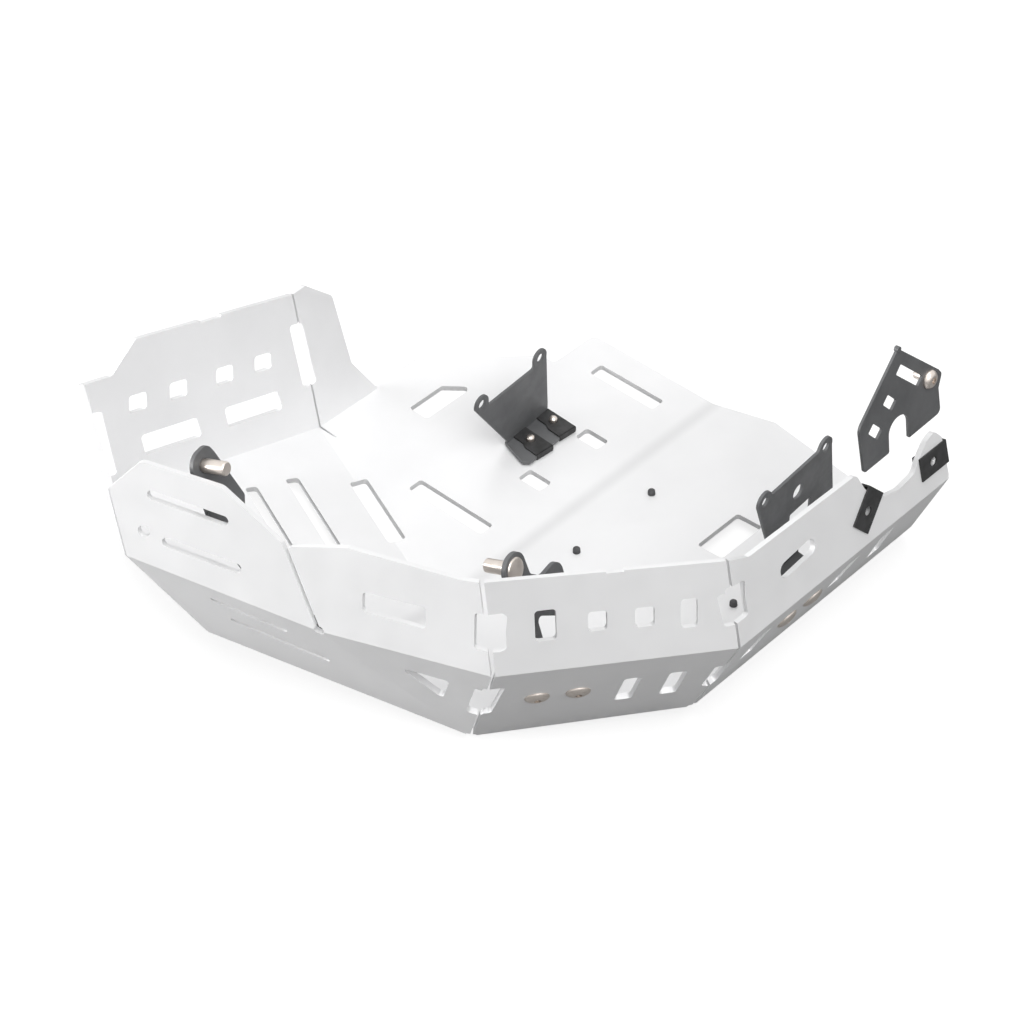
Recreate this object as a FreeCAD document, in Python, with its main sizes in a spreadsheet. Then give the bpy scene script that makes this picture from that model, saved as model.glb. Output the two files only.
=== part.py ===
"""Engine guard: one folded, perforated sheet tub with its brackets, pins and clip nuts.

Frame, in mm: the main floor's underside is z = 0 and +Z is up. The origin is halfway along the
main floor, with +X towards the sloping rear walls. The row of floor holes is centred on y = 0,
and +Y runs to the open side.
"""
import FreeCAD
import Part
import Sketcher
import math
import os

V = FreeCAD.Vector
doc = FreeCAD.newDocument("engine_guard")
os.makedirs("parts", exist_ok=True)

sheet = doc.addObject("Spreadsheet::Sheet", "sizes")
SIZES = {
    # the folded sheet
    "sheet_thick": 4,
    "seam_gap": 1.6,
    "wide_seam_gap": 3,
    "floor_front": 193,
    "floor_half_width": 118,
    "front_fold_start": -92,
    "front_wall_end": -32,
    "front_corner": 9.5,
    "floor_step_x": 115.5,
    "floor_step_y": 74.5,
    "side_fold_angle": 21.7,
    "side_floor_rise": 13,
    "tall_wall_foot": 184,
    "side_strip_length": 185,
    "left_corner_lean": 42.5,
    "rear_floor_rise": 4,
    "rear_fold_x": 188.6,
    "near_corner_x": 98.5,
    "rear_corner_angle": 51,
    "side_strip_angle": 22,
    "rear_strip_bend": 60,
    "side_strip_bend": 55,
    "rear_strip_width": 111.5,
    "side_strip_width": 102,
    "near_corner_lean": 12,
    "side_knee_at": 88,
    "rear_wall_bend": 42,
    "side_wall_bend": 38,
    "front_wall_bend": 77.5,
    "tall_wall_bend": 73.5,
    "tall_wall_lean": 5.3,
    "tall_wall_height": 109,
    "tall_end_height": 90,
    "tall_end_lean": 19.5,
    "side_wall_height": 73.3,
    "left_end_height": 42,
    "corner_wall_height": 65,
    "rear_corner_height": 61,
    "rear_wall_height": 53.4,
    "rear_end_lean": 39,
    "rear_far_y": 102,
    "near_corner_rise": 119.5,
    "hole_corner": 2.5,
    "relief_radius": 3.5,
    # the upright brackets
    "bracket_thick": 3,
    "bracket_turn": 4,
    "side_bracket_x": 196,
    "side_bracket_y": -49.5,
    "side_ear_reach": 32.8,
    "side_ear_level": 165,
    "side_web_top": 155,
    "side_web_half": 25,
    "side_foot_start": 42,
    "side_foot_width": 62,
    "side_foot_low": 52,
    "side_foot_high": 80,
    "centre_bracket_x": 79.8,
    "centre_bracket_y": 5,
    "centre_ear_reach": 32.3,
    "centre_ear_level": 61.4,
    "centre_web_top": 55,
    "centre_ear_shift": 17.4,
    "centre_base_length": 27,
    "ear_radius": 6.5,
    "ear_bore": 6.6,
    "pipe_bore": 6.6,
    # screws, clip nuts, studs and pins
    "screw_diameter": 6,
    "screw_clearance": 0.3,
    "flange_diameter": 17,
    "flange_thick": 1.6,
    "button_diameter": 10.5,
    "button_height": 3.2,
    "socket_across": 4,
    "socket_depth": 2.2,
    "screw_length": 13,
    "nut_across": 10,
    "nut_height": 5,
    "thread_gap": 0.05,
    "sink_diameter": 12,
    "sink_height": 3,
    "sink_screw_length": 15,
    "clip_leg": 1.2,
    "clip_width": 16.8,
    "clip_length": 26.6,
    "clip_bore": 6,
    "floor_clip_width": 22,
    "floor_clip_length": 25,
    "barrel_diameter": 9.5,
    "barrel_height": 2.6,
    "pipe_head_diameter": 13,
    "pipe_head_height": 4.5,
    "pipe_screw_length": 16,
    "stud_diameter": 6,
    "stud_height": 4,
    "pin_diameter": 9,
    "pin_clearance": 0.15,
    "pin_reach": 19,
    "pin_head_diameter": 14,
    "pin_head_height": 4,
    "pin_neck": 8,
    "pin_undercut": 1.5,
    "pin_bore": 8.3,
    "lug_radius": 10.4,
}
for row, (alias, value) in enumerate(SIZES.items(), 1):
    sheet.set("A%d" % row, alias)
    sheet.set("B%d" % row, str(value))
    sheet.setAlias("B%d" % row, alias)
doc.recompute()


def mm(alias):
    """Read one driving dimension as a plain number."""
    return float(sheet.get(alias))


thick = mm("sheet_thick")
corner = mm("hole_corner")


def turned(angle_deg):
    """Unit vector in the floor plane at an angle from +X."""
    a = math.radians(angle_deg)
    return V(math.cos(a), math.sin(a), 0)


def unit(v):
    w = V(v)
    w.normalize()
    return w


def meet(*planes):
    """The point where three planes meet, each given as (normal, point on it)."""
    (a, pa), (b, pb), (c, pc) = planes
    det = a.dot(b.cross(c))
    p = b.cross(c) * a.dot(pa) + c.cross(a) * b.dot(pb) + a.cross(b) * c.dot(pc)
    return p * (1 / det)


class Facet:
    """One flat facet of the folded sheet, known by its outer face.

    at is its local zero, along runs on the fold line, up rises from the fold and out points
    to the outside of the tub.
    """

    def __init__(self, at, along, out):
        self.at = V(at)
        self.along = unit(along)
        self.out = unit(out)
        self.up = unit(self.along.cross(self.out))
        if self.up.z < 0:
            self.up = self.up * -1

    def point(self, u, v, depth=0):
        return self.at + self.along * u + self.up * v - self.out * depth

    def local(self, p):
        d = p - self.at
        return d.dot(self.along), d.dot(self.up)

    def plane(self):
        return self.out, self.at

    def moved(self, at):
        """The same facet measured from another point."""
        other = Facet(at, self.along, self.out)
        other.up = self.up
        return other


def folded(parent, start, end, angle, inside):
    """A facet folded up from its parent along start-end; inside is a point on the parent."""
    along = unit(end - start)
    away = parent.out.cross(along)
    if away.dot(inside - start) > 0:
        away = away * -1
    away.normalize()
    a = math.radians(angle)
    out = parent.out * math.cos(a) + away * math.sin(a)
    child = Facet(start, along, out)
    rise = away * math.cos(a) - parent.out * math.sin(a)
    child.up = unit(rise)
    return child


def outline(points, radius=0):
    """A closed wire through the points; radius rounds all corners, or each by its own value."""
    count = len(points)
    radii = radius if isinstance(radius, (list, tuple)) else [radius] * count
    edges = []
    ends = []
    for i, p in enumerate(points):
        before = unit(points[i - 1] - p)
        after = unit(points[(i + 1) % count] - p)
        half = before.getAngle(after) / 2
        r = radii[i]
        if r <= 0 or half > 1.5:
            ends.append((p, p, None))
            continue
        back = r / math.tan(half)
        middle = p + unit(before + after) * (r / math.sin(half) - r)
        ends.append((p + before * back, p + after * back, middle))
    for i in range(count):
        first, last, middle = ends[i]
        if middle is not None:
            edges.append(Part.Arc(first, middle, last).toShape())
        edges.append(Part.makeLine(last, ends[(i + 1) % count][0]))
    return Part.Wire(edges)


def slab(facet, points, radius=0):
    """A facet's plate: its outer outline, carried inwards by the sheet's thickness."""
    return Part.Face(outline(points, radius)).extrude(facet.out * -thick)


def hole(facet, points, radius=None):
    """A cutter straight through a facet for a hole with the local outline points."""
    reach = 6
    around = [facet.point(u, v, -reach) for u, v in points]
    wire = outline(around, corner if radius is None else radius)
    return Part.Face(wire).extrude(facet.out * -(2 * reach + thick))


def box_hole(facet, u0, v0, u1, v1, radius=None):
    return hole(facet, [(u0, v0), (u1, v0), (u1, v1), (u0, v1)], radius)


def slot_hole(facet, first, last, width):
    """A cutter for a round-ended slot between two local points."""
    du, dv = last[0] - first[0], last[1] - first[1]
    span = math.hypot(du, dv)
    a = (du / span, dv / span)
    b = (-a[1], a[0])
    half = width / 2
    points = []
    for end, along_by in ((first, -half), (last, half)):
        for side in (half, -half) if along_by < 0 else (-half, half):
            points.append((end[0] + a[0] * along_by + b[0] * side,
                           end[1] + a[1] * along_by + b[1] * side))
    return hole(facet, points, half * 0.98)


def round_hole(facet, u, v, diameter):
    reach = 6
    return Part.makeCylinder(diameter / 2, 2 * reach + thick, facet.point(u, v, -reach), facet.out * -1)


def seam(start, end, one, other, before=0, after=0, gap="seam_gap"):
    """A cutter that parts two facets along the line where they meet."""
    along = unit(end - start)
    inward = unit(one.out + other.out) * -1
    side = unit(along.cross(inward))
    wide = mm(gap)
    a = start - along * before - inward * 6 - side * (wide / 2)
    b = end + along * after - inward * 6 - side * (wide / 2)
    face = Part.Face(Part.makePolygon([a, b, b + side * wide, a + side * wide, a]))
    return face.extrude(inward * 26)


def relief(at, one, other):
    """A round relief where a seam ends at a fold."""
    inward = unit(one.out + other.out) * -1
    return Part.makeCylinder(mm("relief_radius"), 26, at - inward * 8, inward)


# Floor: the main floor, the side floor that rises to the tall wall's side, and the rear floor
bend_x = mm("floor_front") / 2
front_x = bend_x - mm("floor_front")
half_width = mm("floor_half_width")
floor = Facet(V(bend_x, 0, 0), V(1, 0, 0), V(0, 0, -1))
floor.up = V(0, 1, 0)
fold_way = turned(-mm("side_fold_angle"))
front_corner = V(front_x, mm("front_fold_start"), 0)
bend_corner = front_corner + fold_way * (mm("floor_front") / fold_way.x)
bend_far = V(bend_x, half_width, 0)
rear_floor = folded(floor, bend_corner, bend_far, mm("rear_floor_rise"), V(-50, 0, 0))
side_floor = folded(floor, front_corner, bend_corner, mm("side_floor_rise"), V(-100, 0, 0))

# The near corner lies on the line where the side floor and the rear floor meet
meeting = unit(side_floor.out.cross(rear_floor.out))
near_foot = bend_corner + meeting * (mm("near_corner_x") / meeting.x)


def on_rear(x, y):
    """The point of the rear floor's underside at x behind the bend."""
    return V(bend_x + x, y, x * math.tan(math.radians(mm("rear_floor_rise"))))


rear_x = mm("rear_fold_x")
rise_y = (rear_x - mm("near_corner_x")) * math.tan(math.radians(mm("rear_corner_angle")))
rear_foot = on_rear(rear_x, near_foot.y + rise_y)
end_foot = on_rear(rear_x, mm("rear_far_y"))

# Side strip: the fold on the side floor runs back from the near corner
strip_way = turned(mm("side_strip_angle"))
upright = V(0, 0, 1).cross(strip_way)
strip_line = unit(upright.cross(side_floor.out))
if strip_line.x < 0:
    strip_line = strip_line * -1
inside = side_floor.point(120, 60)
strip_foot = near_foot - strip_line * mm("side_strip_length")
side_strip = folded(side_floor, strip_foot, near_foot, mm("side_strip_bend"), inside)

# Tall wall: folded up from the side floor's front edge, which leans a little forward
foot_way = turned(-90 - mm("tall_wall_lean"))
foot_line = unit(V(0, 0, 1).cross(foot_way).cross(side_floor.out))
if foot_line.y > 0:
    foot_line = foot_line * -1
tall_wall = folded(side_floor, front_corner, front_corner + foot_line * 100, mm("tall_wall_bend"), inside)
tall_foot = tall_wall.point(mm("tall_wall_foot"), 0)
tall_top = tall_wall.point(mm("tall_wall_foot") + mm("tall_end_lean"), mm("tall_end_height"))
front_wall = folded(floor, front_corner, front_corner + V(0, 50, 0), mm("front_wall_bend"), V(-50, 0, 0))

# Upper side wall on the side strip
knee_v = mm("side_strip_width")
side_knee = side_strip.point(mm("side_knee_at"), knee_v)
left_knee = side_strip.point(-mm("left_corner_lean"), knee_v)
side_wall = folded(side_strip, left_knee, side_knee, mm("side_wall_bend"), side_strip.point(50, 50))


def through(first, second, third, outside):
    """A facet through three points, measured along first-second, facing the outside point."""
    out = unit((second - first).cross(third - first))
    if out.dot(outside - first) < 0:
        out = out * -1
    return Facet(first, second - first, out)


# Left corner: a triangle folded from the side floor, and the near wall folded from the triangle
left_side = tall_foot + side_strip.out * knee_v
left_triangle = through(tall_foot, strip_foot, left_knee, left_side)
near_wall = through(tall_foot, left_knee, tall_top, left_side)

# Rear strips and their walls
strip_v = mm("rear_strip_width")
corner_strip = folded(rear_floor, near_foot, rear_foot, mm("rear_strip_bend"), V(50, 0, 3))
rear_strip = folded(rear_floor, rear_foot, end_foot, mm("rear_strip_bend"), V(50, 0, 3))
near_knee = corner_strip.point(mm("near_corner_lean"), mm("near_corner_rise"))
knee_plane = (corner_strip.up, corner_strip.point(0, strip_v))
rear_knee = meet(corner_strip.plane(), rear_strip.plane(), knee_plane)
corner_wall = folded(corner_strip, near_knee, rear_knee, mm("rear_wall_bend"), corner_strip.point(60, 50))
end_knee = rear_strip.point(rear_strip.local(end_foot)[0] - mm("rear_end_lean"), strip_v)
rear_wall = folded(rear_strip, rear_knee, end_knee, mm("rear_wall_bend"), rear_strip.point(60, 50))

# Corner triangle: folded from the side strip, it closes the near corner; the middle wall is on it
side_top = side_wall.point((side_knee - left_knee).Length - 32, 50)
near_side = side_knee + side_strip.out * knee_v
triangle = through(side_knee, near_knee, near_foot, near_side)
middle_wall = through(side_knee, near_knee, side_top, near_side)


def seam_top(one, other, level):
    """The point of two facets' meeting line at a local height on the first."""
    return meet(one.plane(), other.plane(), (one.up, one.point(0, level)))


front_top = seam_top(tall_wall, front_wall, mm("tall_wall_height"))
left_top = seam_top(side_wall, near_wall, mm("left_end_height"))
near_top = seam_top(corner_wall, middle_wall, mm("corner_wall_height"))
rear_top = seam_top(corner_wall, rear_wall, mm("rear_corner_height"))

plates = []
plates.append(slab(floor, [
    front_corner, V(front_x, mm("front_wall_end"), 0), V(front_x, mm("front_corner"), 0),
    V(front_x + mm("floor_step_y") - mm("front_corner"), mm("floor_step_y"), 0),
    V(bend_x - mm("floor_step_x"), mm("floor_step_y"), 0), V(bend_x - mm("floor_step_x"), half_width, 0),
    bend_far, bend_corner], [0, 0, 4, 4, 4, 6, 0, 0]))
plates.append(slab(side_floor, [front_corner, bend_corner, near_foot, strip_foot, tall_foot]))
plates.append(slab(rear_floor, [
    bend_corner, near_foot, rear_foot, end_foot, on_rear(48, 129), bend_far], [0, 0, 0, 0, 6, 0]))
plates.append(slab(front_wall, [
    front_corner, front_wall.point(60, 0), front_wall.point(40, 35), front_wall.point(36, 93),
    front_wall.point(15, 112), front_top], [0, 0, 6, 6, 3, 0]))
plates.append(slab(tall_wall, [
    front_corner, tall_foot, tall_top, tall_wall.point(178.5, mm("tall_end_height")),
    tall_wall.point(158, mm("tall_wall_height") + 2), front_top], [0, 0, 0, 5, 5, 0]))
plates.append(slab(left_triangle, [tall_foot, strip_foot, left_knee]))
plates.append(slab(near_wall, [tall_foot, left_knee, left_top, tall_top], [0, 0, 3, 3]))
plates.append(slab(side_strip, [strip_foot, near_foot, side_knee, left_knee]))
plates.append(slab(side_wall, [
    left_knee, side_knee, side_top, side_wall.point(52.2, mm("side_wall_height")),
    side_wall.point(-1.3, mm("side_wall_height") - 3.6), left_top], [0, 0, 4, 8, 6, 4]))
plates.append(slab(triangle, [side_knee, near_foot, near_knee]))
plates.append(slab(middle_wall, [
    side_knee, near_knee, near_top, middle_wall.point(89, 62.5), middle_wall.point(16, 64.5),
    side_top], [0, 0, 0, 3, 6, 4]))
plates.append(slab(corner_strip, [near_foot, rear_foot, rear_knee, near_knee]))
plates.append(slab(corner_wall, [near_knee, rear_knee, rear_top, near_top]))
plates.append(slab(rear_strip, [rear_foot, end_foot, end_knee, rear_knee]))
# The rear wall's pipe cut-out is measured back from the wall's far end
far = rear_wall.local(end_knee)[0]
plates.append(slab(rear_wall, [
    rear_knee, end_knee, rear_wall.point(far - 1.6, 32), rear_wall.point(far - 8, 39.3),
    rear_wall.point(far - 17, 36.4), rear_wall.point(far - 26.2, 28.9), rear_wall.point(far - 32.5, 21.6),
    rear_wall.point(far - 49.5, 19.4), rear_wall.point(far - 66.4, 23.4), rear_wall.point(far - 79.6, 37.3),
    rear_wall.point(far - 85.6, mm("rear_wall_height") - 2),
    rear_wall.point(21.9, mm("rear_wall_height")), rear_top],
    [0, 3, 5, 4, 0, 8, 8, 14, 14, 10, 5, 0, 0]))

cuts = []
# Main floor: two long slots, two squares and the five-sided opening
for y, left in ((-90, 97.7), (-30, 49), (30, 49), (90, 88.8)):
    cuts.append(box_hole(floor, -left, y - 6.3, -28.5, y + 6.3))
cuts.append(hole(floor, [(-157.5, -34), (-140, -34), (-140, 8), (-143.5, 11.6), (-157.5, -0.5)]))
# Side floor: three parallel slots
cuts.append(box_hole(side_floor, 60, 72, 128, 81))
cuts.append(box_hole(side_floor, 56, 39, 132, 49))
cuts.append(box_hole(side_floor, 68, -8, 136, 5))
# Rear floor: the opening by the rear corner
rear_here = Facet(V(bend_x, 0, 0), V(0, 1, 0), rear_floor.out)
rear_here.up = rear_floor.up
cuts.append(box_hole(rear_here, -9, 92, 34, 114))
# Tall wall: four squares, two slots, and the windows at both its ends
for u in (158.5, 124.5, 84.6, 51):
    cuts.append(box_hole(tall_wall, u - 7.2, 65.8 - 6.2, u + 7.2, 65.8 + 6.2))
for u0 in (106, 34.5):
    cuts.append(hole(tall_wall, [(u0, 26.2), (u0 + 48, 26.2), (u0 + 51.5, 41.3), (u0 + 4, 41.3)]))
near_edge = tall_wall.local(tall_foot)[0]
cuts.append(hole(tall_wall, [
    (near_edge + 20, 19), (near_edge - 5.6, 19), (near_edge + 4.4, 68), (near_edge + 30, 68)]))
cuts.append(hole(tall_wall, [(4, 38), (15.5, 38), (26.8, 86.7), (15.3, 86.7)]))
cuts.append(hole(front_wall, [(-4, 38), (5.6, 38), (5.2, 87), (-4, 87)]))
# Tall wall and corner wall: a shallow locating notch in the top edge
notch_deep = 1.4
notches = ((tall_wall, 85.9, 103.9, mm("tall_wall_height") + 0.9), (corner_wall, 70.5, 81.5, 63.2))
for wall, u0, u1, level in notches:
    cuts.append(box_hole(wall, u0, level - notch_deep, u1, level + 8, notch_deep / 2))
# Upper side wall and side strip
cuts.append(slot_hole(side_wall, (10, 49.6), (57, 51.2), 6.8))
cuts.append(slot_hole(side_wall, (25, 20.6), (71, 21.6), 6.8))
cuts.append(round_hole(side_wall, 9.1, 22.3, 8))
strip_here = side_strip.moved(left_knee)
cuts.append(slot_hole(strip_here, (57.5, -22.5), (104.3, -27.6), 5))
cuts.append(slot_hole(strip_here, (67.5, -51), (130.4, -56.5), 5))
# Middle wall and corner triangle
cuts.append(hole(middle_wall, [(28, 22.5), (69, 21.5), (68.5, 37), (27.5, 36.5)]))
cuts.append(hole(triangle, [(49, -26), (81, -27), (71, -60)]))
cuts.append(hole(triangle, [(97.6, -28), (84.2, -73), (95, -73), (108, -28)]))
middle_long = (near_knee - side_knee).Length
cuts.append(hole(middle_wall, [
    (middle_long - 13.5, 17), (middle_long + 4, 17), (middle_long + 4, 42.5), (middle_long - 14.5, 42.5)]))
# Corner wall and its strip
for u, width, height in ((33, 13.1, 21), (64.5, 11.7, 13.4), (93.3, 12, 13.4), (120.4, 10.5, 19.8)):
    level = 32.5 - u / 30
    cuts.append(box_hole(corner_wall, u - width / 2, level - height / 2, u + width / 2, level + height / 2))
wall_long = (rear_knee - near_knee).Length
cuts.append(box_hole(corner_wall, -4, 17.5, 9, 43))
cuts.append(box_hole(corner_wall, wall_long - 9, 18.5, wall_long + 5, 43))
for u in (90, 118.4):
    cuts.append(hole(corner_strip, [(u, 37), (u + 11, 37), (u + 15.5, 79), (u + 4.5, 79)]))
cuts.append(hole(corner_strip, [(1, 46), (12, 46), (20, 95), (6.5, 95)]))
strip_long = (rear_foot - near_foot).Length
cuts.append(hole(corner_strip, [
    (strip_long + 3, 41), (strip_long + 12, 41), (strip_long + 19, 78), (strip_long + 9, 78)]))
# Rear strip and rear wall
for u0, u1 in ((23.8, 22.9), (112.6, 111)):
    cuts.append(hole(rear_strip, [(u0 - 6, 48), (u0 + 6, 48), (u1 + 6, 84), (u1 - 6, 84)]))
cuts.append(hole(rear_strip, [(156.8, 35.3), (169.3, 35.3), (152.1, 84.5), (139.6, 84.5)]))
cuts.append(hole(rear_strip, [(-12, 41), (0, 41), (-6, 78), (-19, 78)]))
cuts.append(slot_hole(rear_wall, (51.3, 26.6), (74.4, 28.5), 11))
cuts.append(box_hole(rear_wall, -5, 17, 12.5, 40))

# Seams between facets that are not folded from each other
cuts.append(seam(front_corner, front_top, tall_wall, front_wall, 1, 6))
cuts.append(seam(tall_foot, tall_top, tall_wall, near_wall, 2, 6))
cuts.append(seam(strip_foot, left_knee, side_strip, left_triangle, 2, 0))
cuts.append(seam(left_knee, left_top, side_wall, near_wall, 0, 6))
cuts.append(seam(side_knee, side_top, side_wall, middle_wall, 0, 6, "wide_seam_gap"))
cuts.append(seam(bend_corner, near_foot, side_floor, rear_floor, 0, 2))
cuts.append(seam(near_foot, near_knee, triangle, corner_strip, 2, 0))
cuts.append(seam(near_knee, near_top, middle_wall, corner_wall, 0, 8, "wide_seam_gap"))
cuts.append(seam(rear_foot, rear_knee, corner_strip, rear_strip, 2, 0))
cuts.append(seam(rear_knee, rear_top, corner_wall, rear_wall, 0, 8))
cuts.append(relief(side_knee, side_wall, middle_wall))
cuts.append(relief(rear_foot, corner_strip, rear_strip))
cuts.append(relief(near_foot, side_strip, corner_strip))
cuts.append(relief(bend_corner, floor, floor))

# Pin brackets: lugs square to one common pin axis
axis = unit(V(0.94, 0.2, 0.275))
inner_way = unit(V(0, 0, 1).cross(axis))
lug_up = axis.cross(inner_way)


def lug_point(centre, u, v):
    return centre + inner_way * u + lug_up * v


def reach_depth(centre, facet, u, depth):
    """Local height at which a lug's plane meets a facet's inner side, for a given u."""
    start = lug_point(centre, u, 0)
    have = (facet.at - start).dot(facet.out)
    return (have - depth) / lug_up.dot(facet.out)


lug_r = mm("lug_radius")
wide = mm("bracket_thick")
low = thick + wide / 2
front_lug = strip_foot + V(20.3, -6.2, 159.7)
foot_low = [reach_depth(front_lug, side_floor, u, low) for u in (34, 56)]
foot_u, foot_v = side_floor.local(lug_point(front_lug, 45, sum(foot_low) / 2))

# Rim clips: each held edge's middle on the rear wall, and the way the clip runs from it
rim_clips = [((far - 71.4, 31.8), (-0.73, -0.69)), ((far - 0.3, 20.5), (-1, 0))]
clip_bore_at = 13.6
for (u, v), (way_u, way_v) in rim_clips:
    span = math.hypot(way_u, way_v)
    cuts.append(round_hole(rear_wall, u + way_u / span * clip_bore_at, v + way_v / span * clip_bore_at, 9))

# Screw holes, from the same places as the brackets' feet
screw_hole = mm("screw_diameter") + 2 * mm("screw_clearance")
corner_screws = [corner_strip.moved(corner_strip.point(u, 66)) for u in (40.3, 66)]
side_foot_mid = (mm("side_foot_low") + mm("side_foot_high")) / 2
side_screws = [rear_strip.moved(rear_strip.point(u, side_foot_mid)) for u in (53.8, 79.8)]
for place in corner_screws + side_screws:
    cuts.append(round_hole(place, 0, 0, screw_hole))
turn = mm("bracket_turn")
across = turned(90 + turn)
facing = turned(turn)
centre_at = V(bend_x - mm("centre_bracket_x"), mm("centre_bracket_y"), 0)
centre_screws = [floor.moved(centre_at + facing * 12.3 + across * w) for w in (-10, 16)]
front_screws = [side_floor.moved(side_floor.point(foot_u - 18, foot_v + v)) for v in (-8, 8)]
for place in centre_screws + front_screws:
    cuts.append(round_hole(place, 0, 0, screw_hole))
    sink = mm("sink_height")
    gap = mm("screw_clearance")
    cuts.append(Part.makeCone(mm("sink_diameter") / 2 + gap, mm("screw_diameter") / 2 + gap, sink,
                              place.at, place.out * -1))

tub = plates[0].multiFuse(plates[1:])
tub = tub.removeSplitter()
tub = tub.cut(cuts)
made = doc.addObject("Part::Feature", "guard_sheet")
made.Label = "guard_sheet"
made.Shape = tub
nodes = [made]


def frame_at(at, x_way, z_way):
    """A placement with its local X and Z along the given directions."""
    z = unit(z_way)
    y = unit(z.cross(x_way))
    x = y.cross(z)
    turn = FreeCAD.Rotation(x, y, z, "ZXY")
    return FreeCAD.Placement(V(at), turn)


def origin_plane(body, role):
    for item in body.Origin.OriginFeatures:
        if item.Role == role:
            return item


def new_body(label, placement):
    body = doc.addObject("PartDesign::Body", label)
    body.Label = label
    body.Placement = placement
    return body


def plate(body, points, radii, thickness, holes=(), offset=None, name="plate", openings=()):
    """A flat plate padded from a sketch; its round holes are bound to the sheet."""
    sketch = body.newObject("Sketcher::SketchObject", name + "_outline")
    sketch.AttachmentSupport = (origin_plane(body, "XY_Plane"), [""])
    sketch.MapMode = "FlatFace"
    if offset is not None:
        sketch.AttachmentOffset = offset
    wire = outline([V(u, v, 0) for u, v in points], radii)
    for edge in wire.Edges:
        sketch.addGeometry(edge_curve(edge), False)
    for inner in openings:
        for edge in outline([V(u, v, 0) for u, v in inner], corner / 2).Edges:
            sketch.addGeometry(edge_curve(edge), False)
    for u, v, bore in holes:
        number = sketch.addGeometry(Part.Circle(V(u, v, 0), V(0, 0, 1), mm(bore) / 2), False)
        fixed = sketch.addConstraint(Sketcher.Constraint("Diameter", number, mm(bore)))
        sketch.setExpression("Constraints[%d]" % fixed, "sizes.%s" % bore)
    pad = body.newObject("PartDesign::Pad", name)
    pad.Profile = sketch
    pad.setExpression("Length", "sizes.%s" % thickness)
    return pad


def edge_curve(edge):
    """A sketch line or arc with the same ends as an edge."""
    first, last = edge.Vertexes[0].Point, edge.Vertexes[-1].Point
    if isinstance(edge.Curve, Part.Line):
        return Part.LineSegment(first, last)
    middle = edge.valueAt((edge.FirstParameter + edge.LastParameter) / 2)
    return Part.Arc(edge.valueAt(edge.FirstParameter), middle, edge.valueAt(edge.LastParameter))


def group(label, pieces):
    """One node made of equal, separate pieces."""
    both = doc.addObject("Part::Compound", label)
    both.Label = label
    both.Links = pieces
    nodes.append(both)
    return both


def prism(label, placement, sides, across, height):
    """A straight prism with its flats bound to the sheet."""
    made = doc.addObject("Part::Prism", label)
    made.Polygon = sides
    made.setExpression("Circumradius", "sizes.%s / 2 / cos(180 / %d)" % (across, sides))
    made.setExpression("Height", "sizes.%s" % height)
    made.Placement = placement
    return made


def rod(label, placement, diameter, height):
    made = doc.addObject("Part::Cylinder", label)
    made.setExpression("Radius", "%s / 2" % diameter)
    made.setExpression("Height", height)
    made.Placement = placement
    return made


def shifted(placement, x, y, z):
    return placement.multiply(FreeCAD.Placement(V(x, y, z), FreeCAD.Rotation()))


def fused(label, pieces):
    made = doc.addObject("Part::MultiFuse", label)
    made.Shapes = pieces
    return made


def less(label, base, tool):
    made = doc.addObject("Part::Cut", label)
    made.Base = base
    made.Tool = tool
    return made


def flanged_screw(label, placement):
    """Button-head screw with a wide flange; local +Z runs from the seat to the tip."""
    flange = rod(label + "_flange", shifted(placement, 0, 0, -mm("flange_thick")), "sizes.flange_diameter",
                 "sizes.flange_thick")
    head = doc.addObject("Part::Cone", label + "_head")
    head.setExpression("Radius1", "sizes.button_diameter * 0.36")
    head.setExpression("Radius2", "sizes.button_diameter / 2")
    head.setExpression("Height", "sizes.button_height")
    head.Placement = shifted(placement, 0, 0, -mm("flange_thick") - mm("button_height"))
    shank = rod(label + "_shank", placement, "sizes.screw_diameter", "sizes.screw_length")
    body = fused(label + "_body", [flange, head, shank])
    socket = prism(label + "_socket", shifted(placement, 0, 0, -mm("flange_thick") - mm("button_height")), 6,
                   "socket_across", "socket_depth")
    return less(label, body, socket)


def hex_nut(label, placement):
    """Plain nut on a screw; local +Z is the way the screw points."""
    nut = prism(label + "_hex", placement, 6, "nut_across", "nut_height")
    bore = rod(label + "_bore", shifted(placement, 0, 0, -1), "(sizes.screw_diameter + 2 * sizes.thread_gap)",
               "sizes.nut_height + 2")
    return less(label, nut, bore)


def countersunk_screw(label, placement):
    """Flush screw; local zero is the sheet's outer face and +Z runs to the tip."""
    head = doc.addObject("Part::Cone", label + "_head")
    head.setExpression("Radius1", "sizes.sink_diameter / 2")
    head.setExpression("Radius2", "sizes.screw_diameter / 2")
    head.setExpression("Height", "sizes.sink_height")
    head.Placement = placement
    shank = rod(label + "_shank", placement, "sizes.screw_diameter", "sizes.sink_screw_length")
    body = fused(label + "_body", [head, shank])
    socket = prism(label + "_socket", shifted(placement, 0, 0, -0.5), 6, "socket_across", "socket_depth")
    return less(label, body, socket)


def block(label, placement, length, width, height):
    made = doc.addObject("Part::Box", label)
    made.setExpression("Length", length)
    made.setExpression("Width", width)
    made.setExpression("Height", height)
    made.Placement = placement
    return made


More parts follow.
